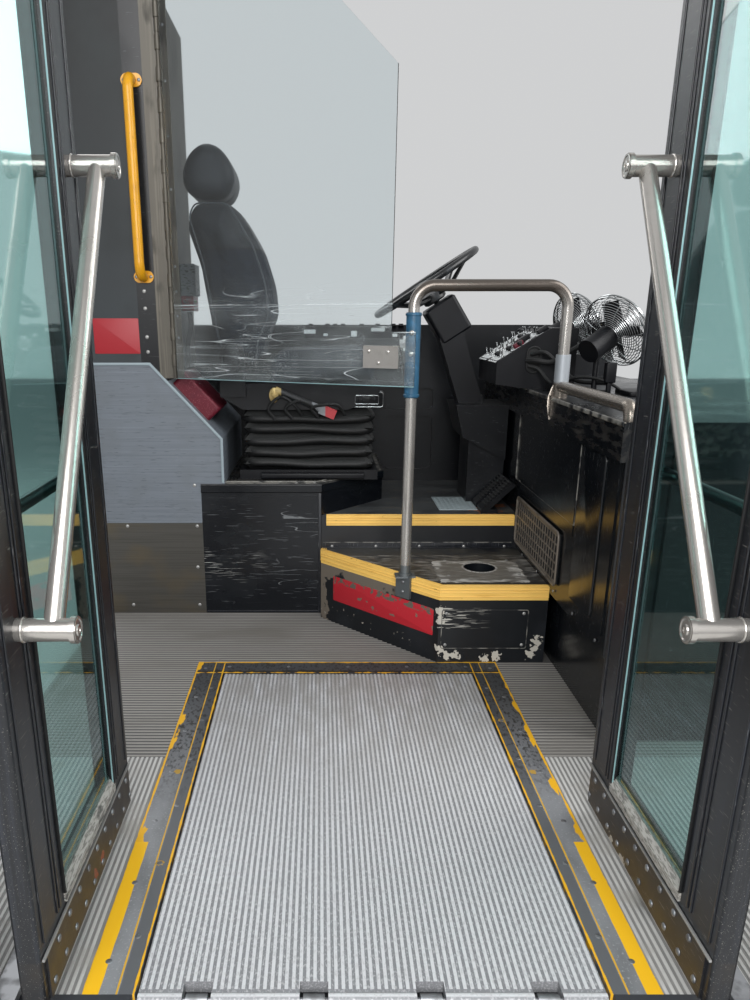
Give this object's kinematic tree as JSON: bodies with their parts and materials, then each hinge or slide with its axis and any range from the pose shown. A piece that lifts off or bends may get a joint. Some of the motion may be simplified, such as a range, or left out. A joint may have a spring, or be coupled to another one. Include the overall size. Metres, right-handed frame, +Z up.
{
  "type": "front entrance and driver's station of a city bus",
  "caption": "Low-floor bus entrance with flip-out ramp, paired glazed door leaves, fare box step, rails, clear barrier, and driver's seat, wheel and dash cabinet.",
  "frame": {"origin": "under the middle of the floor deck, on the surface it stands on", "axes": "+X towards the front of the bus, +Y from the door side to the street side, +Z up"},
  "size_m": [2.08, 2.64, 2.27],
  "materials": {
    "ribbed_floor": "ribbed floor covering, worn grey",
    "deck": "sealed floor sandwich, dark",
    "ramp_ribs": "ribbed ramp face, worn grey",
    "ramp_strip": "dark strip with worn yellow edge stripes",
    "zinc_steel": "zinc-plated hinge steel",
    "black_frame": "black powder coat, satin",
    "bronze_glass": "green tinted safety glass",
    "stainless": "brushed stainless tube",
    "black_laminate": "black textured panel, scuffed",
    "yellow_nosing": "safety yellow edge",
    "grey_laminate": "grey melamine-faced cover, scuffed",
    "stainless_sheet": "worn stainless skirt",
    "dark_grey_panel": "dark grey textured panel",
    "beige_panel": "beige lining",
    "yellow_handle": "yellow powder coat, gloss",
    "aluminium_trim": "mill aluminium, worn",
    "clear_sheet": "clear polycarbonate, scratched",
    "blue_sleeve": "blue tape sleeve",
    "cast_alloy": "cast rail fitting",
    "black_plastic": "black moulded plastic",
    "wheel_rim": "black moulded wheel",
    "chrome_wire": "plated wire",
    "fan_plastic": "black fan plastic",
    "bellows_rubber": "black rubber boot",
    "seat_fabric": "dark blue-grey seat cloth",
    "red_button": "red moulded plastic and plates"
  },
  "bodies": {
    "station": {"floor_deck": "deck", "floor_mat_entry": "ribbed_floor", "floor_mat_aisle": "ribbed_floor", "ramp_frame": "ramp_strip", "ramp_hinge": "zinc_steel", "door_post_rear": "black_frame", "door_post_front": "black_frame", "door_header": "black_frame", "seat_box": "black_laminate", "foot_platform": "black_laminate", "step_nosing": "yellow_nosing", "farebox_plinth": "black_laminate", "plinth_nosing": "yellow_nosing", "wheelhouse_cover": "grey_laminate", "wheelhouse_skirt": "stainless_sheet", "first_aid_case": "red_button", "call_box": "grey_laminate", "partition_panel": "dark_grey_panel", "partition_post": "black_frame", "bulkhead": "beige_panel", "grab_handle": "yellow_handle", "barrier_hinge": "aluminium_trim", "stanchion": "stainless", "stanchion_sleeve": "blue_sleeve", "cabinet_rail": "stainless", "front_cabinet": "black_laminate", "cabinet_grille": "cast_alloy", "dash_pod": "black_plastic", "column_housing": "black_plastic", "steering_column": "black_plastic", "pedals": "black_plastic", "fan_stand_1": "fan_plastic", "fan_stand_2": "fan_plastic", "fan_guard_1": "chrome_wire", "fan_guard_2": "chrome_wire", "side_wall": "black_plastic", "side_console": "black_plastic", "seat_base": "zinc_steel", "seat_bellows": "bellows_rubber"},
    "ramp": {"ramp_plate": "ramp_ribs"},
    "arm_front": {"door_shaft_front": "zinc_steel"},
    "leaf_front": {"leaf_frame_front": "black_frame", "leaf_glass_front": "bronze_glass", "leaf_handle_front": "stainless"},
    "arm_rear": {"door_shaft_rear": "zinc_steel"},
    "leaf_rear": {"leaf_frame_rear": "black_frame", "leaf_glass_rear": "bronze_glass", "leaf_handle_rear": "stainless"},
    "barrier": {"barrier_frame": "aluminium_trim", "barrier_sheet": "clear_sheet", "barrier_latch": "stainless"},
    "wheel": {"steering_wheel": "wheel_rim"},
    "fan_1": {"fan_rotor_1": "fan_plastic"},
    "fan_2": {"fan_rotor_2": "fan_plastic"},
    "seat": {"seat_pan": "black_plastic", "seat_cushion": "seat_fabric", "seat_buckle": "red_button"},
    "back": {"seat_back": "seat_fabric", "headrest": "seat_fabric"}
  },
  "joints": [
    {"name": "ramp_flip", "type": "hinge", "parent": "station", "child": "ramp", "pos_m": [-0.12, -1.212, 0.058], "axis": [1, 0, 0], "range_deg": [0, 190]},
    {"name": "door_arm_front", "type": "hinge", "parent": "station", "child": "arm_front", "pos_m": [0.478, -1.29, 1.07], "axis": [0, 0, 1], "range_deg": [0, 90]},
    {"name": "door_leaf_front", "type": "hinge", "parent": "arm_front", "child": "leaf_front", "pos_m": [0.478, -0.99, 1.07], "axis": [0, 0, 1], "range_deg": [-180, 0]},
    {"name": "door_arm_rear", "type": "hinge", "parent": "station", "child": "arm_rear", "pos_m": [-0.718, -1.29, 1.07], "axis": [0, 0, 1], "range_deg": [-90, 0]},
    {"name": "door_leaf_rear", "type": "hinge", "parent": "arm_rear", "child": "leaf_rear", "pos_m": [-0.718, -0.99, 1.07], "axis": [0, 0, 1], "range_deg": [0, 180]},
    {"name": "barrier_swing", "type": "hinge", "parent": "station", "child": "barrier", "pos_m": [-0.71, 0.597, 1.07], "axis": [0, 0, 1], "range_deg": [-80, 0]},
    {"name": "steering", "type": "hinge", "parent": "station", "child": "wheel", "pos_m": [0.186, 0.935, 1.263], "axis": [-0.5446, 0, 0.8387], "range_deg": [-810, 810]},
    {"name": "fan_spin_1", "type": "hinge", "parent": "station", "child": "fan_1", "pos_m": [0.744, 0.435, 1.098], "axis": [0.7637, 0.4589, 0.454], "continuous": true},
    {"name": "fan_spin_2", "type": "hinge", "parent": "station", "child": "fan_2", "pos_m": [0.778, 0.972, 1.114], "axis": [0.8585, 0.3822, 0.342], "continuous": true},
    {"name": "seat_slide", "type": "slide", "parent": "station", "child": "seat", "axis": [1, 0, 0], "range_m": [0, 0.12]},
    {"name": "seat_recline", "type": "hinge", "parent": "seat", "child": "back", "pos_m": [-0.52, 0.892, 1.01], "axis": [0, 1, 0], "range_deg": [0, 12]}
  ],
  "couplings": [
    {"joint": "door_leaf_front", "follows": "door_arm_front", "ratio": -2},
    {"joint": "door_leaf_rear", "follows": "door_arm_rear", "ratio": -2}
  ]
}
